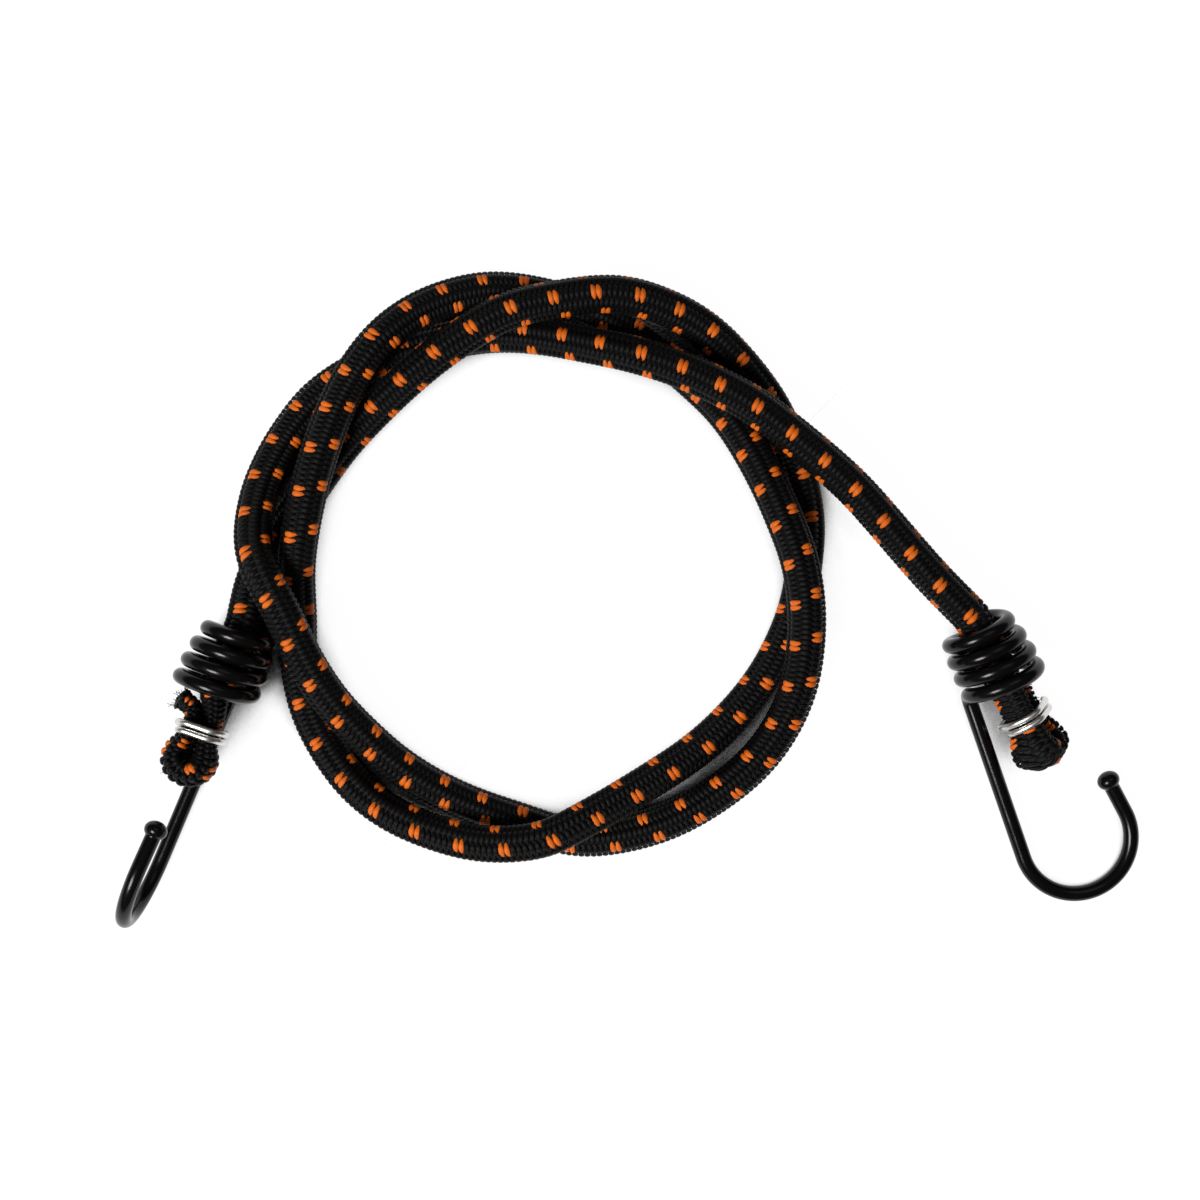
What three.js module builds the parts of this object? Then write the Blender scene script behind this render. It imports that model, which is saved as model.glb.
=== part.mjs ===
// A bungee cord: one metre of braided elastic cord lying in a loose coil, with a wire hook on each end.
// Each hook is one length of plastic-dipped steel wire: a tapered coil that the cord runs through, a
// shank and an open crook with a ball tip. The cord's end is folded back on itself behind the coil and
// clamped with a double-wound wire ring, which makes the knot that the coil cannot pass.
// Millimetres, +Z up, the cord lies on the plane z = 0 and the origin is under the middle of the part.

import * as THREE from "three";

// Cord
const CORD_DIAMETER = 8;
const SLEEVE_WALL = 0.6;
const STRAND_SIDE = 1.4;
const STRAND_CIRCLE_RADIUS = 2.15;
const OUTER_STRANDS = 6;
const STRAND_CLEARANCE = 0.35;
const SLEEVE_SIDES = 10;
const ROUTE_STEPS = 78;
const ROUTE_DIVISIONS = 2000;
const LEAST_CORD_GAP = 0.4;

// Hook wire, coil, shank and crook
const WIRE_DIAMETER = 3.2;
const COIL_GRIP_CLEARANCE = 0.3;
const COIL_END_RADIUS = 7.55;
const COIL_TURNS = 3.75;
const COIL_PITCH = 3.69;
const COIL_FLARE = 2.6;
const COIL_LEAN = THREE.MathUtils.degToRad(8.5);
const BEND_RADIUS = 2.2;
const SHANK_SPLAY = THREE.MathUtils.degToRad(7);
const LEFT_SHANK_LENGTH = 35;
const RIGHT_SHANK_LENGTH = 34.5;
const CROOK_RADIUS = 11.6;
const CROOK_TURN = THREE.MathUtils.degToRad(189);
const TIP_LENGTH = 5.65;
const BALL_DIAMETER = 4.7;
const BALL_LENGTH = 3.8;
const BALL_PROFILE = [[1, 0.3], [0.9, 0.72], [0.6, 1], [0.3, 0.95]];
const WIRE_SIDES = 8;
const COIL_STEPS_PER_TURN = 16;
const CROOK_STEPS = 12;
const BEND_STEPS = 4;

// Folded end and its ring
const STRAIGHT_BEFORE_COIL = 14.5;
const STRAIGHT_END = -1;
const STRAIGHT_STEPS = 2;
const NECK_STEPS = 4;
const PINCH_THICKNESS = 4.1;
const PINCH_WIDTH = 7.4;
const KNOT_THICKNESS = 6.2;
const KNOT_WIDTH = 11.8;
const KNOT_START = 0.97;
const KNOT_END_WIDTH = 0.84;
const LEG_GAP = 0.3;
const RING_ALONG = 9;
const FOLD_ALONG = 14.8;
const FOLD_OPENING = THREE.MathUtils.degToRad(15);
const FOLD_STEPS = 12;
const TAIL_BEND_RADIUS = 2.4;
const TAIL_THICKNESS = 3.8;
const TAIL_WIDTH = 4.8;
const TAIL_STEPS = 6;
const RING_WIRE_DIAMETER = 1.35;
const RING_CLEARANCE = 0.3;
const RING_TURNS = 1.45;
const RING_PITCH = 1.65;
const RING_SIDES = 6;
const RING_STEPS_PER_TURN = 24;

// The cord's route between the two coils: x, y and height of its centre line, from the left hook on.
// It climbs wherever it lies across an earlier stretch.
const CORD_ROUTE = [
  [-71.5, 5.0, 4.2], [-67.8, 11.9, 3.3], [-62.2, 19.8, 3.2], [-57.2, 27.1, 3.2], [-52.5, 33.1, 4.2],
  [-44.7, 40.8, 6.8], [-37.2, 47.1, 10.3], [-29.5, 52.7, 12.1], [-19.2, 58.7, 12.9],
  [-10.6, 60.8, 12.3], [-1.6, 62.3, 11.6], [7.5, 62.0, 10.1], [21.4, 56.3, 5.7], [33.2, 44.0, 3.8],
  [38.9, 33.3, 3.2], [42.8, 18.7, 3.2], [42.4, 7.2, 3.2], [40.1, -3.9, 3.2], [33.3, -17.2, 3.6],
  [21.6, -29.6, 5.6], [6.9, -39.2, 8.6], [-4.0, -45.2, 11.5], [-12.2, -49.0, 12.2],
  [-24.7, -49.8, 10.1], [-36.2, -46.9, 8.3], [-44.6, -43.1, 6.3], [-51.7, -37.4, 4.6],
  [-56.8, -30.4, 3.5], [-60.4, -23.3, 3.2], [-62.5, -14.0, 3.3], [-62.4, -4.0, 4.8], [-62.5, 5.0, 7.7],
  [-61.3, 12.9, 11.2], [-58.8, 24.3, 12.2], [-55.1, 35.7, 12.3], [-50.9, 44.8, 12.0],
  [-45.1, 52.7, 12.6], [-39.4, 57.9, 9.9], [-33.0, 61.4, 7.9], [-22.8, 64.1, 5.2], [-10.8, 62.8, 3.3],
  [1.1, 58.6, 3.2], [12.7, 51.1, 3.2], [18.6, 46.2, 3.2], [26.8, 37.9, 4.7], [33.8, 25.7, 8.1],
  [38.5, 14.5, 10.8], [40.9, 7.1, 12.0], [42.2, -4.1, 11.8], [40.5, -18.6, 9.5], [33.7, -31.5, 7.0],
  [23.0, -40.9, 5.0], [10.8, -47.1, 3.6], [-4.1, -49.5, 3.2], [-16.4, -46.0, 3.2], [-26.6, -42.6, 3.4],
  [-34.9, -38.6, 4.2], [-42.1, -33.8, 5.6], [-47.1, -29.2, 7.4], [-53.9, -22.0, 9.6],
  [-58.2, -15.5, 11.8], [-61.4, -9.3, 13.8], [-63.8, -3.4, 15.4], [-66.5, 1.9, 16.2],
  [-69.2, 7.0, 15.3], [-70.7, 12.2, 12.7], [-70.6, 17.5, 9.9], [-69.8, 22.9, 7.5], [-67.9, 28.0, 5.8],
  [-65.4, 33.0, 4.4], [-58.3, 42.4, 3.3], [-46.7, 49.5, 3.2], [-37.4, 52.5, 3.2], [-30.1, 54.2, 3.2],
  [-21.7, 55.2, 3.8], [-12.3, 54.4, 5.9], [-0.8, 52.0, 8.8], [7.3, 50.0, 11.4], [18.3, 46.3, 12.1],
  [30.8, 39.9, 12.7], [38.0, 34.6, 12.0], [44.9, 29.1, 11.2], [52.3, 22.5, 10.5], [60.4, 13.3, 10.3],
  [68.0, 4.5, 10.8],
];

// The two ends. "seat" is a point on the coil's axis, "heading" that axis in plan, measured from -Y
// toward +X, and "climb" its slope toward the hook. "roll" turns the hook on the axis: 0 lays the crook
// flat, 90 stands it up. The folded cord has a seat and an axis of its own, "fold" turns the plane that it
// is folded in, and its cut tail bends away from the ring by "tailBend".
const ENDS = {
  left: {
    seat: [-78.75, -18.3, 9.55],
    heading: -22.9,
    climb: 6.5,
    roll: 90.4,
    shank: LEFT_SHANK_LENGTH,
    knotSeat: [-78.5, -18.4, 9.55],
    knotHeading: -19.7,
    knotClimb: 6.5,
    fold: 180,
    ringStart: 0.42,
    tailBend: 72,
    tailLength: 2.6,
    tailDrift: 0.5,
  },
  right: {
    seat: [82.4, -16.3, 9.45],
    heading: 27,
    climb: -6.6,
    roll: 0,
    shank: RIGHT_SHANK_LENGTH,
    knotSeat: [82.85, -16.1, 9.45],
    knotHeading: 28.5,
    knotClimb: -6.6,
    fold: -55,
    ringStart: 0.15,
    tailBend: 20,
    tailLength: 3.2,
    tailDrift: 0.4,
  },
};

const CORD_RADIUS = CORD_DIAMETER / 2;
const WIRE_RADIUS = WIRE_DIAMETER / 2;
const COIL_START_RADIUS = CORD_RADIUS + COIL_GRIP_CLEARANCE + WIRE_RADIUS;
const LEG_SPACING = (PINCH_THICKNESS + LEG_GAP) / 2;
const FOLD_RADIUS = (KNOT_THICKNESS + LEG_GAP) / 2;
const RING_HALF_LENGTH = (RING_TURNS * RING_PITCH + RING_WIRE_DIAMETER) / 2;
const UP = new THREE.Vector3(0, 0, 1);

const sleeveYarn = new THREE.MeshStandardMaterial({ color: 0x161514, roughness: 0.85, metalness: 0 });
const latex = new THREE.MeshStandardMaterial({ color: 0xd8cba8, roughness: 0.7, metalness: 0 });
const dippedWire = new THREE.MeshStandardMaterial({ color: 0x0c0c0d, roughness: 0.3, metalness: 0 });
const brightWire = new THREE.MeshStandardMaterial({ color: 0xc8c6c2, roughness: 0.25, metalness: 1 });

// A seat and the axes from it: along a heading and climb, across it (level until turned), and beside both.
function axesAt(seat, headingDegrees, climbDegrees, turnDegrees) {
  const heading = THREE.MathUtils.degToRad(headingDegrees);
  const climb = THREE.MathUtils.degToRad(climbDegrees);
  const along = new THREE.Vector3(
    Math.sin(heading) * Math.cos(climb),
    -Math.cos(heading) * Math.cos(climb),
    Math.sin(climb),
  );
  const level = new THREE.Vector3().crossVectors(UP, along).normalize();
  const across = level.applyAxisAngle(along, THREE.MathUtils.degToRad(turnDegrees));
  const beside = new THREE.Vector3().crossVectors(along, across);
  return { seat: new THREE.Vector3(...seat), along, across, beside };
}

const hookAxes = (end) => axesAt(end.seat, end.heading, end.climb, end.roll);
const knotAxes = (end) => axesAt(end.knotSeat, end.knotHeading, end.knotClimb, end.fold);

function pointIn(axes, along, across, beside) {
  return axes.seat
    .clone()
    .addScaledVector(axes.along, along)
    .addScaledVector(axes.across, across)
    .addScaledVector(axes.beside, beside);
}

// Directions along a polyline, each halfway between the two steps that meet at the point.
function tangentsOf(points) {
  const steps = points
    .slice(1)
    .map((point, i) => new THREE.Vector3().subVectors(point, points[i]).normalize());
  return points.map((point, i) => {
    const before = steps[Math.max(i - 1, 0)];
    const after = steps[Math.min(i, steps.length - 1)];
    return new THREE.Vector3().addVectors(before, after).normalize();
  });
}

// Section axes that don't twist along the polyline, starting from a given normal.
function carriedNormals(tangents, firstNormal) {
  const normals = [];
  let normal = firstNormal.clone();
  for (let i = 0; i < tangents.length; i += 1) {
    if (i > 0) {
      const turn = new THREE.Quaternion().setFromUnitVectors(tangents[i - 1], tangents[i]);
      normal.applyQuaternion(turn);
    }
    normal = normal.clone().addScaledVector(tangents[i], -normal.dot(tangents[i])).normalize();
    normals.push(normal.clone());
  }
  return normals;
}

// A closed body from rings of points: walls between the rings in turn, then a cover on each end.
function bodyFromRings(rings, wallCount, coverEnds) {
  const sides = rings[0].length;
  const positions = rings.flat().flatMap((point) => [point.x, point.y, point.z]);
  const index = [];
  const at = (ring, side) => ring * sides + (side % sides);
  for (let ring = 0; ring < wallCount; ring += 1) {
    const next = (ring + 1) % rings.length;
    for (let side = 0; side < sides; side += 1) {
      index.push(at(ring, side), at(ring, side + 1), at(next, side + 1));
      index.push(at(ring, side), at(next, side + 1), at(next, side));
    }
  }
  if (coverEnds) {
    const last = rings.length - 1;
    for (let side = 1; side < sides - 1; side += 1) {
      index.push(at(0, 0), at(0, side + 1), at(0, side));
      index.push(at(last, 0), at(last, side), at(last, side + 1));
    }
  }
  const geometry = new THREE.BufferGeometry();
  geometry.setAttribute("position", new THREE.Float32BufferAttribute(positions, 3));
  geometry.setIndex(index);
  geometry.computeVertexNormals();
  return geometry;
}

// A round wire along a polyline, with its own radius at each point.
function wireBody(points, radii, firstNormal, sides) {
  const tangents = tangentsOf(points);
  const normals = carriedNormals(tangents, firstNormal);
  const rings = points.map((point, i) => {
    const binormal = new THREE.Vector3().crossVectors(tangents[i], normals[i]);
    return Array.from({ length: sides }, (_, side) => {
      const angle = ((side + 0.5) / sides) * 2 * Math.PI;
      return point
        .clone()
        .addScaledVector(normals[i], radii[i] * Math.cos(angle))
        .addScaledVector(binormal, radii[i] * Math.sin(angle));
    });
  });
  return bodyFromRings(rings, rings.length - 1, true);
}

// One hook, from the ball tip round the crook and up the shank into the tapered coil.
function hookBody(end) {
  const axes = hookAxes(end);
  const coilPoint = (turn) => {
    const angle = Math.PI + 2 * Math.PI * (turn - COIL_TURNS);
    const grown = 1 - (1 - turn / COIL_TURNS) ** COIL_FLARE;
    const radius = COIL_START_RADIUS + (COIL_END_RADIUS - COIL_START_RADIUS) * grown;
    const along = COIL_PITCH * (angle - Math.PI / 2) / (2 * Math.PI);
    return [
      along + radius * Math.cos(angle) * Math.sin(COIL_LEAN),
      radius * Math.cos(angle) * Math.cos(COIL_LEAN),
      radius * Math.sin(angle),
    ];
  };
  const [coilEndAlong, coilEndAcross] = coilPoint(COIL_TURNS);
  const shankAlong = Math.cos(SHANK_SPLAY);
  const shankAcross = -Math.sin(SHANK_SPLAY);
  const shankPoint = (distance) => [
    coilEndAlong + shankAlong * distance,
    coilEndAcross + shankAcross * distance,
    -BEND_RADIUS,
  ];
  const crookStart = shankPoint(BEND_RADIUS + end.shank);
  const centre = [
    crookStart[0] - shankAcross * CROOK_RADIUS,
    crookStart[1] + shankAlong * CROOK_RADIUS,
  ];
  const crookPoint = (turn) => {
    const direction = turn - SHANK_SPLAY;
    return [
      centre[0] + CROOK_RADIUS * Math.sin(direction),
      centre[1] - CROOK_RADIUS * Math.cos(direction),
      -BEND_RADIUS,
    ];
  };
  const tipDirection = CROOK_TURN - SHANK_SPLAY;
  const crookEnd = crookPoint(CROOK_TURN);
  const tipPoint = (distance) => [
    crookEnd[0] + Math.cos(tipDirection) * distance,
    crookEnd[1] + Math.sin(tipDirection) * distance,
    -BEND_RADIUS,
  ];

  const points = [];
  const radii = [];
  const add = (local, radius) => {
    points.push(pointIn(axes, ...local));
    radii.push(radius);
  };
  const ballRadius = BALL_DIAMETER / 2;
  for (const [share, width] of BALL_PROFILE) {
    add(tipPoint(TIP_LENGTH + BALL_LENGTH * share), ballRadius * width);
  }
  add(tipPoint(TIP_LENGTH), WIRE_RADIUS);
  for (let step = CROOK_STEPS; step >= 0; step -= 1) {
    add(crookPoint((CROOK_TURN * step) / CROOK_STEPS), WIRE_RADIUS);
  }
  for (let step = BEND_STEPS; step >= 1; step -= 1) {
    const angle = (Math.PI / 2) * (step / BEND_STEPS);
    const forward = BEND_RADIUS * (1 - Math.cos(angle));
    const local = shankPoint(forward);
    add([local[0], local[1], -BEND_RADIUS * Math.sin(angle)], WIRE_RADIUS);
  }
  const coilSteps = Math.round(COIL_TURNS * COIL_STEPS_PER_TURN);
  for (let step = coilSteps; step >= 0; step -= 1) {
    add(coilPoint((COIL_TURNS * step) / coilSteps), WIRE_RADIUS);
  }
  return wireBody(points, radii, axes.beside, WIRE_SIDES);
}

// The cord's end, from the coil to the melted cut: points with half the section's thickness (in the
// plane of the fold) and width (square to it).
function foldedEnd(end) {
  const coil = hookAxes(end);
  const knot = knotAxes(end);
  const stations = [];
  const add = (point, thickness, width) => {
    stations.push({ point, thick: thickness / 2, wide: width / 2, folded: true });
  };
  const ringNear = RING_ALONG - RING_HALF_LENGTH;
  const ringFar = RING_ALONG + RING_HALF_LENGTH;
  for (let step = 0; step <= STRAIGHT_STEPS; step += 1) {
    const along = THREE.MathUtils.lerp(-STRAIGHT_BEFORE_COIL, STRAIGHT_END, step / STRAIGHT_STEPS);
    add(pointIn(coil, along, 0, 0), CORD_DIAMETER, CORD_DIAMETER);
  }
  const neckStart = pointIn(coil, STRAIGHT_END, 0, 0);
  const neckEnd = pointIn(knot, ringNear, -LEG_SPACING, 0);
  const reach = neckStart.distanceTo(neckEnd) / 3;
  const neck = new THREE.CubicBezierCurve3(
    neckStart,
    neckStart.clone().addScaledVector(coil.along, reach),
    neckEnd.clone().addScaledVector(knot.along, -reach),
    neckEnd,
  );
  for (let step = 1; step <= NECK_STEPS; step += 1) {
    const share = step / NECK_STEPS;
    const eased = Math.sin((share * Math.PI) / 2);
    add(
      neck.getPoint(share),
      THREE.MathUtils.lerp(CORD_DIAMETER, PINCH_THICKNESS, eased),
      THREE.MathUtils.lerp(CORD_DIAMETER, PINCH_WIDTH, eased),
    );
  }
  add(pointIn(knot, ringFar, -LEG_SPACING, 0), PINCH_THICKNESS, PINCH_WIDTH);
  for (let step = 0; step <= FOLD_STEPS; step += 1) {
    const share = step / FOLD_STEPS;
    const angle = THREE.MathUtils.lerp(-FOLD_OPENING, Math.PI + FOLD_OPENING, share);
    const along = FOLD_ALONG + FOLD_RADIUS * Math.sin(angle);
    const sides = Math.sin(2 * Math.PI * share) ** 2;
    add(
      pointIn(knot, along, -FOLD_RADIUS * Math.cos(angle), 0),
      KNOT_THICKNESS * THREE.MathUtils.lerp(KNOT_START, 1, Math.sin(Math.PI * share)),
      KNOT_WIDTH * THREE.MathUtils.lerp(KNOT_END_WIDTH, 1, sides),
    );
  }
  add(pointIn(knot, ringFar, LEG_SPACING, 0), PINCH_THICKNESS, PINCH_WIDTH);
  add(pointIn(knot, ringNear, LEG_SPACING, 0), PINCH_THICKNESS, PINCH_WIDTH);
  const bend = THREE.MathUtils.degToRad(end.tailBend);
  for (let step = 1; step <= TAIL_STEPS; step += 1) {
    const share = step / TAIL_STEPS;
    const angle = bend * Math.min(2 * share, 1);
    const straight = end.tailLength * Math.max(2 * share - 1, 0);
    const bentAlong = TAIL_BEND_RADIUS * Math.sin(angle) + straight * Math.cos(angle);
    const bentAcross = TAIL_BEND_RADIUS * (1 - Math.cos(angle)) + straight * Math.sin(angle);
    add(
      pointIn(knot, ringNear - bentAlong, LEG_SPACING + bentAcross, end.tailDrift * share),
      THREE.MathUtils.lerp(PINCH_THICKNESS, TAIL_THICKNESS, share),
      THREE.MathUtils.lerp(PINCH_WIDTH, TAIL_WIDTH, share),
    );
  }
  return { stations, widthAxis: knot.beside };
}

// Every section of the cord from the left cut to the right one: the route is a smooth curve through
// its points, sampled at even steps.
function cordSections() {
  const left = foldedEnd(ENDS.left);
  const right = foldedEnd(ENDS.right);
  const leftJoin = left.stations[0].point;
  const rightJoin = right.stations[0].point;
  const route = CORD_ROUTE.map((point) => new THREE.Vector3(...point));
  const curve = new THREE.CatmullRomCurve3([leftJoin, ...route, rightJoin], false, "catmullrom", 0.5);
  curve.arcLengthDivisions = ROUTE_DIVISIONS;
  const between = curve.getSpacedPoints(ROUTE_STEPS).slice(1, -1);
  const stations = [
    ...left.stations.slice().reverse(),
    ...between.map((point) => ({ point, thick: CORD_RADIUS, wide: CORD_RADIUS })),
    ...right.stations,
  ];
  const tangents = tangentsOf(stations.map((station) => station.point));
  const normals = carriedNormals(tangents, left.widthAxis);
  const last = normals.length - 1;
  const carried = normals[last];
  const missing = Math.atan2(
    new THREE.Vector3().crossVectors(carried, right.widthAxis).dot(tangents[last]),
    carried.dot(right.widthAxis),
  );
  const first = left.stations.length;
  const turnOver = between.length;
  return stations.map((station, i) => {
    const share = THREE.MathUtils.clamp((i - first) / turnOver, 0, 1);
    const wideAxis = normals[i].clone().applyAxisAngle(tangents[i], missing * share);
    const thickAxis = new THREE.Vector3().crossVectors(tangents[i], wideAxis);
    return { ...station, tangent: tangents[i], wideAxis, thickAxis };
  });
}

// A point of the cord's round section, squeezed with the section where the cord is clamped or folded,
// and pressed up where the cord lies on the ground.
function sectionPoint(section, x, y, ground) {
  const point = section.point
    .clone()
    .addScaledVector(section.wideAxis, (x * section.wide) / CORD_RADIUS)
    .addScaledVector(section.thickAxis, (y * section.thick) / CORD_RADIUS);
  point.z = Math.max(point.z, ground);
  return point;
}

// The braided sleeve: a tube open at both cut ends, flat where it lies on the ground.
function sleeveBody(sections) {
  const circle = (section, radius, ground) =>
    Array.from({ length: SLEEVE_SIDES }, (_, side) => {
      const angle = (side / SLEEVE_SIDES) * 2 * Math.PI;
      return sectionPoint(section, radius * Math.cos(angle), radius * Math.sin(angle), ground);
    });
  const outside = sections.map((section) => circle(section, CORD_RADIUS, 0));
  const inside = sections.map((section) => circle(section, CORD_RADIUS - SLEEVE_WALL, SLEEVE_WALL));
  const rings = [...outside, ...inside.reverse()];
  return bodyFromRings(rings, rings.length, false);
}

// One square-cut latex thread of the core, at its own place in the bundle.
function strandBody(sections, place) {
  const half = STRAND_SIDE / 2;
  const radius = place === 0 ? 0 : STRAND_CIRCLE_RADIUS;
  const angle = ((place - 1) / OUTER_STRANDS) * 2 * Math.PI;
  const corners = [[half, half], [-half, half], [-half, -half], [half, -half]];
  const rings = sections.map((section) =>
    corners.map(([outward, sideways]) =>
      sectionPoint(
        section,
        (radius + outward) * Math.cos(angle) - sideways * Math.sin(angle),
        (radius + outward) * Math.sin(angle) + sideways * Math.cos(angle),
        SLEEVE_WALL + STRAND_CLEARANCE,
      ),
    ),
  );
  return bodyFromRings(rings, rings.length - 1, true);
}

// The wire ring round both legs of the fold: one and a half turns, its ends lapped side by side.
function ringBody(end) {
  const knot = knotAxes(end);
  const thick = PINCH_THICKNESS / 2;
  const wide = PINCH_WIDTH / 2;
  const standOff = RING_CLEARANCE + RING_WIRE_DIAMETER / 2;
  const steps = Math.round(RING_TURNS * RING_STEPS_PER_TURN);
  const points = [];
  for (let step = 0; step <= steps; step += 1) {
    const turn = (RING_TURNS * step) / steps;
    const angle = 2 * Math.PI * (end.ringStart + turn);
    const outward = new THREE.Vector2(Math.cos(angle) / thick, Math.sin(angle) / wide).normalize();
    const legAcross = Math.sign(Math.cos(angle)) * LEG_SPACING;
    const along = RING_ALONG + RING_PITCH * (turn - RING_TURNS / 2);
    const across = legAcross + thick * Math.cos(angle) + standOff * outward.x;
    points.push(pointIn(knot, along, across, wide * Math.sin(angle) + standOff * outward.y));
  }
  const radii = points.map(() => RING_WIRE_DIAMETER / 2);
  return wireBody(points, radii, knot.along, RING_SIDES);
}

// The least gap between stretches of the cord that lie across or beside each other.
function leastCordGap(sections) {
  const run = [0];
  for (let i = 1; i < sections.length; i += 1) {
    run.push(run[i - 1] + sections[i].point.distanceTo(sections[i - 1].point));
  }
  const apart = 3 * CORD_DIAMETER;
  const first = sections.findIndex((section) => !section.folded);
  const last = sections.findLastIndex((section) => !section.folded);
  const stretch = (i) => new THREE.Line3(sections[i].point, sections[i + 1].point);
  const onStretch = new THREE.Vector3();
  let least = Infinity;
  for (let i = first; i < last; i += 1) {
    for (let j = first; j < last; j += 1) {
      if (Math.abs(run[i] - run[j]) > apart) {
        for (const share of [0, 0.25, 0.5, 0.75]) {
          const point = stretch(i).at(share, new THREE.Vector3());
          stretch(j).closestPointToPoint(point, true, onStretch);
          least = Math.min(least, point.distanceTo(onStretch) - CORD_DIAMETER);
        }
      }
    }
  }
  console.log(`cord length ${run.at(-1).toFixed(0)} mm, least gap to itself ${least.toFixed(2)} mm`);
  if (least < LEAST_CORD_GAP) {
    console.log(`the cord's stretches come closer than ${LEAST_CORD_GAP} mm`);
  }
}

const bungee = new THREE.Group();
const addPiece = (name, geometry, material) => {
  const mesh = new THREE.Mesh(geometry, material);
  mesh.name = name;
  bungee.add(mesh);
};

const sections = cordSections();
leastCordGap(sections);
addPiece("braided_sleeve", sleeveBody(sections), sleeveYarn);
for (let place = 0; place <= OUTER_STRANDS; place += 1) {
  const number = place + 1;
  addPiece(`latex_strand_${number}`, strandBody(sections, place), latex);
}
for (const [side, end] of Object.entries(ENDS)) {
  addPiece(`${side}_hook`, hookBody(end), dippedWire);
  addPiece(`${side}_clamp_ring`, ringBody(end), brightWire);
}

// The origin goes under the middle of the whole part.
const box = new THREE.Box3().setFromObject(bungee);
const middle = box.getCenter(new THREE.Vector3());
bungee.position.set(-middle.x, -middle.y, -box.min.z);

export default bungee;
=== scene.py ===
import math
import random

import bpy
import numpy as np
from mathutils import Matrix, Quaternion, Vector, noise


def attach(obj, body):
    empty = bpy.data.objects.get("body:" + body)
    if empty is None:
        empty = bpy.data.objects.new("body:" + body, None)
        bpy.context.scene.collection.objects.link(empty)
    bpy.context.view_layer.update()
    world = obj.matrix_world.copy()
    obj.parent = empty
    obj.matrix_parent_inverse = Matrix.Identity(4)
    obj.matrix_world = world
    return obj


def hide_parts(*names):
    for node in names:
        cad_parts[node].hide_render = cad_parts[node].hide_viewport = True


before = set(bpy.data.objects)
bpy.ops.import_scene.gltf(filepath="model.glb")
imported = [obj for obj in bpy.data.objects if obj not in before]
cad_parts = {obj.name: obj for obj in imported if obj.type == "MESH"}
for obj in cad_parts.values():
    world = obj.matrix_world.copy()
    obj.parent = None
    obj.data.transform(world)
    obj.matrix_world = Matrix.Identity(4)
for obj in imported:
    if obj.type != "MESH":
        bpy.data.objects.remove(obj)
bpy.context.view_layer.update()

# The view. The cord lies on a white table and is seen straight from above, from less than
# half a metre away, with the top of the picture toward +Y.
photo_middle = Vector((-0.007187, -0.000855, 0.0))
camera_height = 0.450
seen_width = 0.25093
camera_data = bpy.data.cameras.new("view_from_above")
camera_data.angle = 2 * math.atan(seen_width / 2 / camera_height)
camera_data.clip_start = 0.01
camera = bpy.data.objects.new("view_from_above", camera_data)
camera.location = photo_middle + Vector((0.0, 0.0, camera_height))
bpy.context.scene.collection.objects.link(camera)
bpy.context.scene.camera = camera

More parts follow.
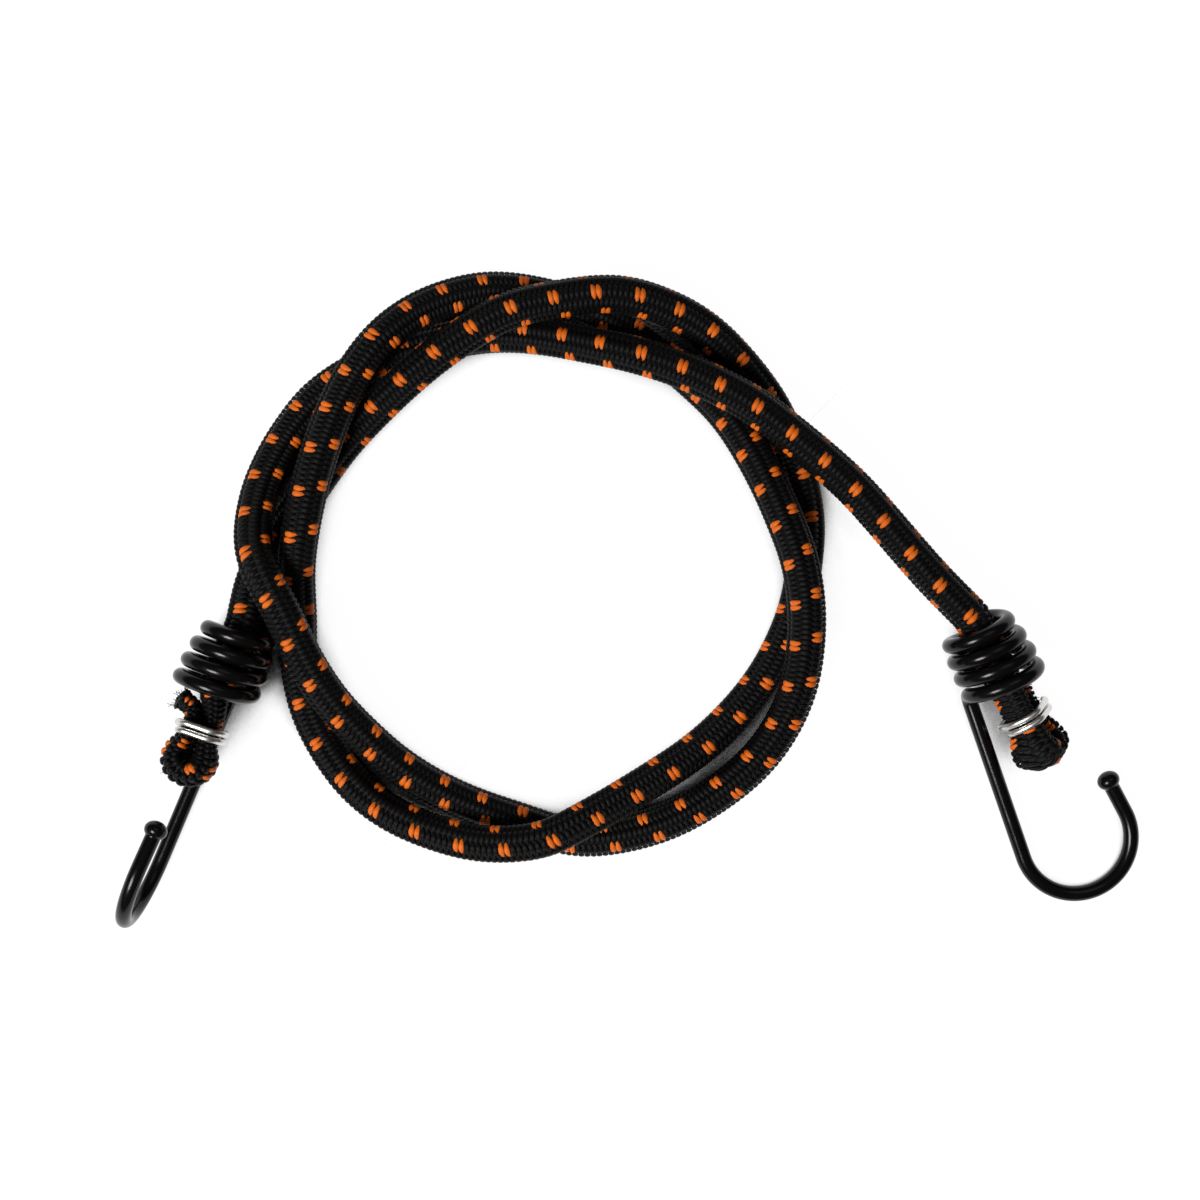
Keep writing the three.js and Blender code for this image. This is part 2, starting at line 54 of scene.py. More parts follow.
# The cord's line. One metre of elastic cord lies in a loose coil of a little over two turns, climbing
# wherever it crosses an earlier stretch. Each end runs through its hook's coil, is folded back on
# itself behind it, clamped with a wire ring, and cut off short.
cord_radius = 0.004
line_step = 0.0004
curve_steps = 24
route_softness = 0.003
joint_softness = 0.0007
route = [
    (-0.0715, 0.0050, 0.0042), (-0.0678, 0.0119, 0.0033), (-0.0622, 0.0198, 0.0032),
    (-0.0572, 0.0271, 0.0032), (-0.0525, 0.0331, 0.0042), (-0.0447, 0.0408, 0.0068),
    (-0.0372, 0.0471, 0.0103), (-0.0295, 0.0527, 0.0121), (-0.0192, 0.0587, 0.0129),
    (-0.0106, 0.0608, 0.0123), (-0.0016, 0.0623, 0.0116), (0.0075, 0.0620, 0.0101),
    (0.0214, 0.0563, 0.0057), (0.0332, 0.0440, 0.0038), (0.0389, 0.0333, 0.0032),
    (0.0428, 0.0187, 0.0032), (0.0424, 0.0072, 0.0032), (0.0401, -0.0039, 0.0032),
    (0.0333, -0.0172, 0.0036), (0.0216, -0.0296, 0.0056), (0.0069, -0.0392, 0.0086),
    (-0.0040, -0.0452, 0.0115), (-0.0122, -0.0490, 0.0122), (-0.0247, -0.0498, 0.0101),
    (-0.0362, -0.0469, 0.0083), (-0.0446, -0.0431, 0.0063), (-0.0517, -0.0374, 0.0046),
    (-0.0568, -0.0304, 0.0035), (-0.0604, -0.0233, 0.0032), (-0.0625, -0.0140, 0.0033),
    (-0.0624, -0.0040, 0.0048), (-0.0625, 0.0050, 0.0077), (-0.0613, 0.0129, 0.0112),
    (-0.0588, 0.0243, 0.0122), (-0.0551, 0.0357, 0.0123), (-0.0509, 0.0448, 0.0120),
    (-0.0451, 0.0527, 0.0126), (-0.0394, 0.0579, 0.0099), (-0.0330, 0.0614, 0.0079),
    (-0.0228, 0.0641, 0.0052), (-0.0108, 0.0628, 0.0033), (0.0011, 0.0586, 0.0032),
    (0.0127, 0.0511, 0.0032), (0.0186, 0.0462, 0.0032), (0.0268, 0.0379, 0.0047),
    (0.0338, 0.0257, 0.0081), (0.0385, 0.0145, 0.0108), (0.0409, 0.0071, 0.0120),
    (0.0422, -0.0041, 0.0118), (0.0405, -0.0186, 0.0095), (0.0337, -0.0315, 0.0070),
    (0.0230, -0.0409, 0.0050), (0.0108, -0.0471, 0.0036), (-0.0041, -0.0495, 0.0032),
    (-0.0164, -0.0460, 0.0032), (-0.0266, -0.0426, 0.0034), (-0.0349, -0.0386, 0.0042),
    (-0.0421, -0.0338, 0.0056), (-0.0471, -0.0292, 0.0074), (-0.0539, -0.0220, 0.0096),
    (-0.0582, -0.0155, 0.0118), (-0.0614, -0.0093, 0.0138), (-0.0638, -0.0034, 0.0154),
    (-0.0665, 0.0019, 0.0162), (-0.0692, 0.0070, 0.0153), (-0.0707, 0.0122, 0.0127),
    (-0.0706, 0.0175, 0.0099), (-0.0698, 0.0229, 0.0075), (-0.0679, 0.0280, 0.0058),
    (-0.0654, 0.0330, 0.0044), (-0.0583, 0.0424, 0.0033), (-0.0467, 0.0495, 0.0032),
    (-0.0374, 0.0525, 0.0032), (-0.0301, 0.0542, 0.0032), (-0.0217, 0.0552, 0.0038),
    (-0.0123, 0.0544, 0.0059), (-0.0008, 0.0520, 0.0088), (0.0073, 0.0500, 0.0114),
    (0.0183, 0.0463, 0.0121), (0.0308, 0.0399, 0.0127), (0.0380, 0.0346, 0.0120),
    (0.0449, 0.0291, 0.0112), (0.0523, 0.0225, 0.0105), (0.0604, 0.0133, 0.0103),
    (0.0680, 0.0045, 0.0108),
]

# Each end's coil: a point on its axis, the axis in plan measured from -Y toward +X, its slope, and how
# far the hook is turned on it. The folded cord has a seat and an axis of its own, near the coil's.
ends = {
    "left": {
        "seat": (-0.07875, -0.0183, 0.00955), "heading": -22.9, "climb": 6.5, "roll": 90.4, "shank": 0.0350,
        "knot_seat": (-0.0785, -0.0184, 0.00955), "knot_heading": -19.7, "knot_climb": 6.5, "fold": 180,
        "ring_start": 0.42, "tail_bend": 72, "tail_length": 0.0026, "tail_drift": 0.0005,
    },
    "right": {
        "seat": (0.0824, -0.0163, 0.00945), "heading": 27, "climb": -6.6, "roll": 0, "shank": 0.0345,
        "knot_seat": (0.08285, -0.0161, 0.00945), "knot_heading": 28.5, "knot_climb": -6.6, "fold": -55,
        "ring_start": 0.15, "tail_bend": 20, "tail_length": 0.0032, "tail_drift": 0.0004,
    },
}
straight_before_coil = 0.0145
straight_end = -0.001
pinched = (0.0041, 0.0074)
bulb = (0.0062, 0.0118)
bulb_start = 0.97
bulb_end_width = 0.84
tail_cut = (0.0046, 0.0054)
leg_gap = -0.0002
ring_along = 0.009
ring_wire = 0.00135
ring_turns = 1.45
ring_pitch = 0.00165
fold_along = 0.0148
fold_opening = math.radians(15)
tail_bend_radius = 0.0024
leg_spacing = (pinched[0] + leg_gap) / 2
fold_radius = (bulb[0] + leg_gap) / 2
ring_half_length = (ring_turns * ring_pitch + ring_wire) / 2


def axes_at(seat, heading, climb, turn):
    """A seat and the axes from it: along, across (level until it is turned) and beside."""
    heading = math.radians(heading)
    climb = math.radians(climb)
    along = Vector((
        math.sin(heading) * math.cos(climb),
        -math.cos(heading) * math.cos(climb),
        math.sin(climb),
    ))
    level = Vector((0.0, 0.0, 1.0)).cross(along).normalized()
    across = Quaternion(along, math.radians(turn)) @ level
    return Vector(seat) + photo_middle, along, across, along.cross(across)


def hook_axes(end):
    return axes_at(end["seat"], end["heading"], end["climb"], end["roll"])


def knot_axes(end):
    return axes_at(end["knot_seat"], end["knot_heading"], end["knot_climb"], end["fold"])


def placed(axes, steps):
    """Steps along, across and beside, as a point of the part."""
    seat, along, across, beside = axes
    return seat + along * steps[0] + across * steps[1] + beside * steps[2]


def mixed(first, second, share):
    return first + (second - first) * share


def folded_end(end):
    """Points from the coil to the cut, each with half the cord's thickness and width there."""
    coil = hook_axes(end)
    knot = knot_axes(end)
    stations = []

    def add(point, size):
        stations.append((*point, size[0] / 2, size[1] / 2))

    round_size = np.array((2 * cord_radius, 2 * cord_radius))
    pinched_size = np.array(pinched)
    ring_near = ring_along - ring_half_length
    ring_far = ring_along + ring_half_length
    for share in np.linspace(0, 1, 6):
        add(placed(coil, (mixed(-straight_before_coil, straight_end, share), 0, 0)), round_size)
    neck_start = placed(coil, (straight_end, 0, 0))
    neck_end = placed(knot, (ring_near, -leg_spacing, 0))
    reach = (neck_end - neck_start).length / 3
    from_coil = neck_start + coil[1] * reach
    to_ring = neck_end - knot[1] * reach
    for share in np.linspace(0, 1, 9)[1:]:
        rest = 1 - share
        bent = neck_start * rest**3 + from_coil * (3 * rest**2 * share)
        bent += to_ring * (3 * rest * share**2) + neck_end * share**3
        add(bent, mixed(round_size, pinched_size, math.sin(share * math.pi / 2)))
    add(placed(knot, (ring_far, -leg_spacing, 0)), pinched_size)
    for share in np.linspace(0, 1, 25):
        angle = mixed(-fold_opening, math.pi + fold_opening, share)
        along = fold_along + fold_radius * math.sin(angle)
        thickness = bulb[0] * mixed(bulb_start, 1.0, math.sin(math.pi * share))
        width = bulb[1] * mixed(bulb_end_width, 1.0, math.sin(2 * math.pi * share) ** 2)
        add(placed(knot, (along, -fold_radius * math.cos(angle), 0)), (thickness, width))
    add(placed(knot, (ring_far, leg_spacing, 0)), pinched_size)
    add(placed(knot, (ring_near, leg_spacing, 0)), pinched_size)
    bend = math.radians(end["tail_bend"])
    for share in np.linspace(0, 1, 13)[1:]:
        angle = bend * min(2 * share, 1)
        straight = end["tail_length"] * max(2 * share - 1, 0)
        along = ring_near - tail_bend_radius * math.sin(angle) - straight * math.cos(angle)
        across = leg_spacing + tail_bend_radius * (1 - math.cos(angle)) + straight * math.sin(angle)
        size = mixed(pinched_size, np.array(tail_cut), share)
        add(placed(knot, (along, across, end["tail_drift"] * share)), size)
    return np.array(stations)


def curve_through(knots, steps):
    """A smooth curve through the knots."""
    knots = np.vstack([2 * knots[0] - knots[1], knots, 2 * knots[-1] - knots[-2]])
    points = []
    for a, b, c, d in zip(knots, knots[1:], knots[2:], knots[3:]):
        for t in np.linspace(0, 1, steps, endpoint=False):
            bend = (2 * a - 5 * b + 4 * c - d) * t**2 + (3 * b - a - 3 * c + d) * t**3
            points.append((2 * b + (c - a) * t + bend) / 2)
    points.append(knots[-2])
    return np.array(points)


def evenly_spaced(points, step):
    """The same line with points a step apart; what follows the three coordinates goes along."""
    steps = np.linalg.norm(np.diff(points[:, :3], axis=0), axis=1)
    run = np.concatenate([[0], np.cumsum(steps)])
    even = np.linspace(0, run[-1], int(round(run[-1] / step)) + 1)
    return np.column_stack([np.interp(even, run, column) for column in points.T])


def softened(points, reach):
    """Each point averaged with its neighbours within about this reach, with both ends held."""
    half = int(3 * reach / line_step)
    weights = np.exp(-0.5 * (np.arange(-half, half + 1) * line_step / reach) ** 2)
    before = 2 * points[0] - points[half:0:-1]
    after = 2 * points[-1] - points[-2:-half - 2:-1]
    longer = np.vstack([before, points, after])
    return np.column_stack([np.convolve(column, weights / weights.sum(), "valid") for column in longer.T])


left_end = folded_end(ends["left"])
right_end = folded_end(ends["right"])
route_knots = np.array(route) + np.array(photo_middle)
route_knots = np.vstack([left_end[0, :3], route_knots, right_end[0, :3]])
between = softened(evenly_spaced(curve_through(route_knots, curve_steps), line_step), route_softness)
between = np.column_stack([between, np.full((len(between), 2), cord_radius)])
whole = np.vstack([left_end[:0:-1], between, right_end[1:]])
line = softened(evenly_spaced(whole, line_step), joint_softness)
run = np.concatenate([[0], np.cumsum(np.linalg.norm(np.diff(line[:, :3], axis=0), axis=1))])
cord_length = float(run[-1])


def carried_axes(points, first_axis):
    """Axes square to a line that don't twist along it."""
    tangents = np.gradient(points, axis=0)
    tangents = [Vector(tangent).normalized() for tangent in tangents]
    axis = first_axis.copy()
    axes = []
    for before, tangent in zip([tangents[0], *tangents], tangents):
        axis = before.rotation_difference(tangent) @ axis
        axis = (axis - tangent * axis.dot(tangent)).normalized()
        axes.append(axis.copy())
    return tangents, axes


# The cord is a little twisted on its way, so that both folds lie as they do.
left_wide = knot_axes(ends["left"])[3]
right_wide = knot_axes(ends["right"])[3]
tangents, wide_axes = carried_axes(line[:, :3], left_wide)
missing = math.atan2(wide_axes[-1].cross(right_wide).dot(tangents[-1]), wide_axes[-1].dot(right_wide))
loose_from = 0.060
loose_to = cord_length - loose_from
for i, tangent in enumerate(tangents):
    share = min(max((run[i] - loose_from) / (loose_to - loose_from), 0), 1)
    wide_axes[i] = Quaternion(tangent, missing * share) @ wide_axes[i]
thick_axes = [tangent.cross(wide) for tangent, wide in zip(tangents, wide_axes)]


# Node trees. Shapes and looks are built of nodes, and these helpers let the sums among them be written
# as plain sums. A shape tree turns lines of points into a finished mesh that rides its body.
class Wire:
    """A socket in a node tree: sums written on it add the nodes that work them out."""

    def __init__(self, board, socket):
        self.board = board
        self.socket = socket

    def sibling(self, name):
        return Wire(self.board, self.socket.node.outputs[name])

    def is_vector(self):
        return self.socket.type == "VECTOR"

    def sum(self, operation, first, second):
        vector = any(isinstance(value, Wire) and value.is_vector() for value in (first, second))
        kind = "ShaderNodeVectorMath" if vector else "ShaderNodeMath"
        return self.board.node(kind, {"operation": operation}, {0: first, 1: second})

    def __add__(self, other):
        return self.sum("ADD", self, other)

    def __radd__(self, other):
        return self.sum("ADD", other, self)

    def __sub__(self, other):
        return self.sum("SUBTRACT", self, other)

    def __rsub__(self, other):
        return self.sum("SUBTRACT", other, self)

    def __mul__(self, other):
        if self.is_vector():
            settings = {"operation": "SCALE"}
            return self.board.node("ShaderNodeVectorMath", settings, {"Vector": self, "Scale": other})
        return self.sum("MULTIPLY", self, other)

    def __pow__(self, other):
        return self.sum("POWER", self, other)

    def __truediv__(self, other):
        return self.sum("DIVIDE", self, other)

    def of(self, operation):
        return self.board.node("ShaderNodeMath", {"operation": operation}, {0: self})


class Board:
    """A node tree that is filled node by node: settings first, then values and links."""

    def __init__(self, tree):
        self.tree = tree

    def node(self, kind, settings=None, sockets=None, output=0):
        made = self.tree.nodes.new(kind)
        for name, value in (settings or {}).items():
            if name == "stops":
                for stop, (place, colour) in zip(made.color_ramp.elements, value):
                    stop.position = place
                    stop.color = colour
            else:
                setattr(made, name, value)
        for name, value in (sockets or {}).items():
            if isinstance(value, Wire):
                self.tree.links.new(value.socket, made.inputs[name])
            else:
                made.inputs[name].default_value = value
        return Wire(self, made.outputs[output]) if len(made.outputs) else None

    def blend(self, factor, first, second):
        """Two colours mixed."""
        settings = {"data_type": "RGBA"}
        return self.node("ShaderNodeMix", settings, {0: factor, 6: first, 7: second}, 2)


def shape_tree(name, sizes):
    """A geometry tree with one named input for each size. It is filled by its own section."""
    tree = bpy.data.node_groups.new(name, "GeometryNodeTree")
    tree.interface.new_socket("Line", in_out="INPUT", socket_type="NodeSocketGeometry")
    for label, kind in sizes.items():
        tree.interface.new_socket(label, in_out="INPUT", socket_type="NodeSocket" + kind)
    tree.interface.new_socket("Shape", in_out="OUTPUT", socket_type="NodeSocketGeometry")
    board = Board(tree)
    start = board.node("NodeGroupInput")
    labels = [socket.name for socket in start.socket.node.outputs if socket.name]
    return board, {label: start.sibling(label) for label in labels}


def finish_tree(board, shape, material):
    """The last nodes of a shape tree."""
    smooth = board.node("GeometryNodeSetShadeSmooth", None, {"Geometry": shape})
    real = board.node("GeometryNodeRealizeInstances", None, {"Geometry": smooth})
    dressed = board.node("GeometryNodeSetMaterial", None, {"Geometry": real, "Material": material})
    board.node("NodeGroupOutput", None, {"Shape": dressed})
    return board.tree


def line_mesh(name, lines, facts):
    """Open lines of points as a mesh of edges, with a number or a vector on each point for each fact."""
    mesh = bpy.data.meshes.new(name)
    points = []
    edges = []
    for one in lines:
        start = len(points)
        points.extend([tuple(point) for point in one])
        edges.extend([(i, i + 1) for i in range(start, len(points) - 1)])
    mesh.from_pydata(points, edges, [])
    for label, values in facts.items():
        values = np.array(values, dtype=np.float32)
        kind, key = ("FLOAT", "value") if values.ndim == 1 else ("FLOAT_VECTOR", "vector")
        mesh.attributes.new(label, kind, "POINT").data.foreach_set(key, values.ravel())
    return mesh


def made_piece(name, mesh, tree, sizes, body):
    """A plain mesh piece: the tree's shape on this line, riding a body."""
    piece = bpy.data.objects.new(name, mesh)
    bpy.context.scene.collection.objects.link(piece)
    modifier = piece.modifiers.new("shape", "NODES")
    modifier.node_group = tree
    for socket in tree.interface.items_tree:
        if socket.in_out == "INPUT" and socket.name in sizes:
            modifier[socket.identifier] = sizes[socket.name]
    shape = piece.evaluated_get(bpy.context.evaluated_depsgraph_get())
    plain = bpy.data.meshes.new_from_object(shape)
    piece.modifiers.remove(modifier)
    piece.data = plain
    bpy.data.meshes.remove(mesh)
    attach(piece, body)
    return piece


def new_material(name):
    """An empty material, its board and its surface shader's sockets."""
    material = bpy.data.materials.new(name)
    material.use_nodes = True
    shader = material.node_tree.nodes["Principled BSDF"]
    return material, Board(material.node_tree), shader


def feed(board, shader, sockets):
    """Values and links of a surface shader."""
    for name, value in sockets.items():
        if isinstance(value, Wire):
            board.tree.links.new(value.socket, shader.inputs[name])
        else:
            shader.inputs[name].default_value = value


# The inside of the sleeve, and the latex threads that it holds. The core is a bundle of seven square-cut
# threads of natural rubber, laid straight along the cord and stretched while the sleeve is braided on.
inside_radius = 0.0034
folded_inside_radius = 0.0032
inside_sides = 20
thread_count = 7
thread_side = 0.0013
thread_circle = 0.0020
thread_ground = 0.0021
thread_inset = 4

tube_board, tube = shape_tree("tube_along_line", {
    "Sides": "Int", "Side turn": "Float", "Material": "Material",
})


def attribute(board, name, kind="FLOAT"):
    return board.node("GeometryNodeInputNamedAttribute", {"data_type": kind}, {"Name": name})


tube_line = tube_board.node("GeometryNodeMeshToCurve", None, {"Mesh": tube["Line"]})
tube_line = tube_board.node("GeometryNodeSetCurveNormal", {"mode": "FREE"}, {
    "Curve": tube_line, "Normal": attribute(tube_board, "outward", "FLOAT_VECTOR"),
})
tube_profile = tube_board.node("GeometryNodeCurvePrimitiveCircle", None, {
    "Resolution": tube["Sides"], "Radius": 1.0,
})
tube_turn = tube_board.node("ShaderNodeCombineXYZ", None, {"Z": tube["Side turn"]})
tube_profile = tube_board.node("GeometryNodeTransform", None, {
    "Geometry": tube_profile, "Rotation": tube_turn,
})
tube_shape = tube_board.node("GeometryNodeCurveToMesh", None, {
    "Curve": tube_line, "Profile Curve": tube_profile,
    "Scale": attribute(tube_board, "radius"), "Fill Caps": True,
})
tube_tree = finish_tree(tube_board, tube_shape, tube["Material"])


def section_point(i, across, up, ground):
    """A point of the cord's round section, squeezed with it and pressed up where it lies on the table."""
    point = Vector(line[i, :3])
    point += wide_axes[i] * across * (line[i, 4] / cord_radius)
    point += thick_axes[i] * up * (line[i, 3] / cord_radius)
    point.z = max(point.z, ground)
    return point


inside_material, board, shader = new_material("sleeve_inside")
place = board.node("ShaderNodeTexCoord", None, None, "Object")
lint = board.node("ShaderNodeTexNoise", None, {"Vector": place, "Scale": 900.0})
feed(board, shader, {
    "Base Color": board.blend(lint, (0.003, 0.003, 0.003, 1.0), (0.009, 0.008, 0.008, 1.0)),
    "Roughness": 0.9,
})

inside_steps = range(0, len(line), 2)
inside_mesh = bpy.data.meshes.new("sleeve_inside")
inside_points = []
for i in inside_steps:
    squeezed = min(2 * abs(line[i, 4] / line[i, 3] - 1), 1)
    radius = mixed(inside_radius, folded_inside_radius, squeezed)
    for side in range(inside_sides):
        angle = 2 * math.pi * side / inside_sides
        across = radius * math.cos(angle)
        up = radius * math.sin(angle)
        inside_points.append(section_point(i, across, up, cord_radius - radius))
inside_faces = []
for ring in range(len(inside_steps) - 1):
    for side in range(inside_sides):
        corner = ring * inside_sides + side
        beside = ring * inside_sides + (side + 1) % inside_sides
        inside_faces.append((corner, beside, beside + inside_sides, corner + inside_sides))
last_ring = (len(inside_steps) - 1) * inside_sides
inside_faces.append(tuple(reversed(range(inside_sides))))
inside_faces.append(tuple(range(last_ring, last_ring + inside_sides)))
inside_mesh.from_pydata(inside_points, [], inside_faces)
inside_mesh.materials.append(inside_material)
sleeve_inside = bpy.data.objects.new("sleeve_inside", inside_mesh)
bpy.context.scene.collection.objects.link(sleeve_inside)
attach(sleeve_inside, "cord")

latex_material, board, shader = new_material("natural_latex")
place = board.node("ShaderNodeTexCoord", None, None, "Object")
bloom = board.node("ShaderNodeTexNoise", None, {"Vector": place, "Scale": 260.0, "Detail": 4.0})
feed(board, shader, {
    "Base Color": board.blend(bloom, (0.56, 0.46, 0.28, 1.0), (0.72, 0.63, 0.44, 1.0)),
    "Roughness": 0.55 + bloom * 0.25,
})
thread_steps = range(thread_inset, len(line) - thread_inset, 3)
for number in range(thread_count):
    circle = 0.0 if number == 0 else thread_circle
    angle = 2 * math.pi * (number - 1) / (thread_count - 1)
    across = circle * math.cos(angle)
    up = circle * math.sin(angle)
    points = [section_point(i, across, up, thread_ground) for i in thread_steps]
    mesh = line_mesh(f"latex_thread_{number + 1}", [points], {
        "outward": [wide_axes[i] for i in thread_steps],
        "radius": [thread_side / math.sqrt(2) * min(1.0, line[i, 3] / cord_radius) for i in thread_steps],
    })
    sizes = {"Sides": 4, "Side turn": math.pi / 4, "Material": latex_material}
    thread = made_piece(f"latex_thread_{number + 1}", mesh, tube_tree, sizes, "cord")
    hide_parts(f"latex_strand_{number + 1}")

# The braided sleeve. Sixteen flat yarns are plaited round the core, eight in each direction, and each
# passes over two and under two. Two yarns side by side are orange and the other fourteen black. The slack
# sleeve lets each yarn swell where it lies on top, and lie there nearly square to the cord.
yarns_each_way = 8
yarn_count = 2 * yarns_each_way
floats_per_turn = yarn_count // 4
braid_lead = 0.008714
yarn_width = 0.00130
yarn_thickness = 0.00068
yarn_middle_radius = 0.00336
yarn_lift = 0.00029
crossing_sharpness = 1.0
squared_share = 0.7
step_softness = 0.96
hidden_size = 0.28
tip_taper = 1.6
yarn_points_per_turn = 42
yarn_sides = 8

# How far the braid has turned on the cord, in degrees, and slid along it, at places along the cord.
braid_marks = [
    (0.00, -37, -0.0020), (0.14, -37, -0.0020), (0.19, -42, -0.0024), (0.30, -73, 0.0005),
    (0.37, -75, 0.0055), (0.44, -107, 0.0072), (0.48, -108, 0.0054), (0.60, -133, 0.0006),
    (0.70, -137, 0.0038), (0.765, -145, 0.0085), (0.90, -127, 0.0045), (1.00, -127, 0.0047),
]
mark_places, mark_turns, mark_slides = np.array(braid_marks).T
braid_turns = np.radians(np.interp(run, mark_places, mark_turns))
braid_runs = run - np.interp(run, mark_places, mark_slides)

braid_board, braid = shape_tree("braid_round_line", {
    "First yarn": "Int", "Yarns": "Int", "Hand": "Float", "Lead": "Float", "Middle radius": "Float",
    "Lift": "Float", "Yarn width": "Float", "Yarn thickness": "Float",
    "Points": "Int", "Sides": "Int", "Material": "Material",
})
yarn_line = braid_board.node("GeometryNodeMeshToCurve", None, {"Mesh": braid["Line"]})
yarn_line = braid_board.node("GeometryNodeResampleCurve", None, {
    "Curve": yarn_line, "Count": braid["Points"],
})
yarn_line = braid_board.node("GeometryNodeDuplicateElements", {"domain": "SPLINE"}, {
    "Geometry": yarn_line, "Amount": braid["Yarns"],
})
yarn_number = yarn_line.sibling("Duplicate Index") + braid["First yarn"]
turns = braid["Hand"] * attribute(braid_board, "run") / braid["Lead"] + yarn_number / yarns_each_way
crossings = (turns * (2 * math.pi) - math.pi / yarn_count) * floats_per_turn
on_top = braid["Hand"] * crossings.of("COSINE") * 0.5 + 0.5
swell = hidden_size + on_top ** tip_taper * (1 - hidden_size)
over_under = (crossings.of("COSINE") * crossing_sharpness).of("TANH") / math.tanh(crossing_sharpness)
back_step = (crossings.of("SINE") * step_softness).of("ARCSINE") / math.asin(step_softness)
back_step = back_step * braid["Lead"] * (squared_share / -yarn_count)
turn_angle = turns * (2 * math.pi) + attribute(braid_board, "turn")
yarn_radius = braid["Middle radius"] + braid["Hand"] * braid["Lift"] * over_under
wide_way = attribute(braid_board, "wide_axis", "FLOAT_VECTOR")
thick_way = attribute(braid_board, "thick_axis", "FLOAT_VECTOR")
wide_share = attribute(braid_board, "wide") / cord_radius
thick_share = attribute(braid_board, "thick") / cord_radius
wide_part = turn_angle.of("COSINE")
thick_part = turn_angle.of("SINE")
yarn_offset = wide_way * (yarn_radius * wide_part * wide_share)
yarn_offset = yarn_offset + thick_way * (yarn_radius * thick_part * thick_share)
yarn_offset = yarn_offset + attribute(braid_board, "along", "FLOAT_VECTOR") * back_step
yarn_outward = wide_way * (wide_part / wide_share) + thick_way * (thick_part / thick_share)
yarn_place = braid_board.node("GeometryNodeInputPosition") + yarn_offset
yarn_height = braid_board.node("ShaderNodeSeparateXYZ", None, {"Vector": yarn_place}, "Z")
table_height = cord_radius - yarn_radius
settings = {"operation": "MAXIMUM"}
pressed_height = braid_board.node("ShaderNodeMath", settings, {0: yarn_height, 1: table_height})
pressed_up = braid_board.node("ShaderNodeCombineXYZ", None, {"Z": pressed_height - yarn_height})
yarn_line = braid_board.node("GeometryNodeStoreNamedAttribute", {"data_type": "FLOAT_VECTOR"}, {
    "Geometry": yarn_line, "Name": "outward", "Value": yarn_outward,
})
yarn_line = braid_board.node("GeometryNodeStoreNamedAttribute", {"data_type": "FLOAT"}, {
    "Geometry": yarn_line, "Name": "yarn_run", "Value": turns,
})
yarn_line = braid_board.node("GeometryNodeStoreNamedAttribute", {"data_type": "FLOAT"}, {
    "Geometry": yarn_line, "Name": "yarn_size", "Value": (wide_share + thick_share) / 2 * swell,
})
yarn_line = braid_board.node("GeometryNodeSetPosition", None, {
    "Geometry": yarn_line, "Position": yarn_place + pressed_up,
})
yarn_line = braid_board.node("GeometryNodeSetCurveNormal", {"mode": "FREE"}, {
    "Curve": yarn_line, "Normal": attribute(braid_board, "outward", "FLOAT_VECTOR"),
})
yarn_profile = braid_board.node("GeometryNodeCurvePrimitiveCircle", None, {
    "Resolution": braid["Sides"], "Radius": 0.5,
})
yarn_profile = braid_board.node("GeometryNodeStoreNamedAttribute", {"data_type": "FLOAT_VECTOR"}, {
    "Geometry": yarn_profile, "Name": "yarn_side", "Value": braid_board.node("GeometryNodeInputPosition"),
})
profile_scale = braid_board.node("ShaderNodeCombineXYZ", None, {
    "X": braid["Yarn thickness"], "Y": braid["Yarn width"], "Z": 1.0,
})
yarn_profile = braid_board.node("GeometryNodeTransform", None, {
    "Geometry": yarn_profile, "Scale": profile_scale,
})
yarn_shape = braid_board.node("GeometryNodeCurveToMesh", None, {
    "Curve": yarn_line, "Profile Curve": yarn_profile,
    "Scale": attribute(braid_board, "yarn_size"), "Fill Caps": True,
})
braid_tree = finish_tree(braid_board, yarn_shape, braid["Material"])


def yarn_material(name, shade, light, roughness, shine):
    """Fine straight filaments along the yarn that catch the light; their colour runs at random between a
    painted shade and a painted light.
    """
    material, board, shader = new_material(name)
    side = board.node("ShaderNodeAttribute", {"attribute_name": "yarn_side"}, None, "Vector")
    along = board.node("ShaderNodeAttribute", {"attribute_name": "yarn_run"}, None, "Fac")
    along = board.node("ShaderNodeCombineXYZ", None, {"Z": along * 9.0})
    filaments = board.node("ShaderNodeTexNoise", {"noise_dimensions": "3D"}, {
        "Vector": side * 9.0 + along, "Scale": 1.6, "Detail": 3.0, "Roughness": 0.6,
    })
    bump = board.node("ShaderNodeBump", None, {"Height": filaments, "Strength": 0.5, "Distance": 0.00012})
    feed(board, shader, {
        "Base Color": board.blend(filaments, shade, light),
        "Roughness": roughness + filaments * 0.2,
        "Normal": bump,
        "Specular IOR Level": shine,
    })
    return material


# Each yarn's two colours are its dye in painted shade and in painted light, mixed at random along the
# filaments.
black_painted_shade_and_light = (0.001, 0.001, 0.001, 1.0), (0.0056, 0.0045, 0.0043, 1.0)
orange_painted_shade_and_light = (0.46, 0.024, 0.001, 1.0), (1.0, 0.26, 0.012, 1.0)
black_yarn = yarn_material("black_yarn", *black_painted_shade_and_light, roughness=0.42, shine=0.13)
orange_yarn = yarn_material("orange_yarn", *orange_painted_shade_and_light, roughness=0.42, shine=0.28)

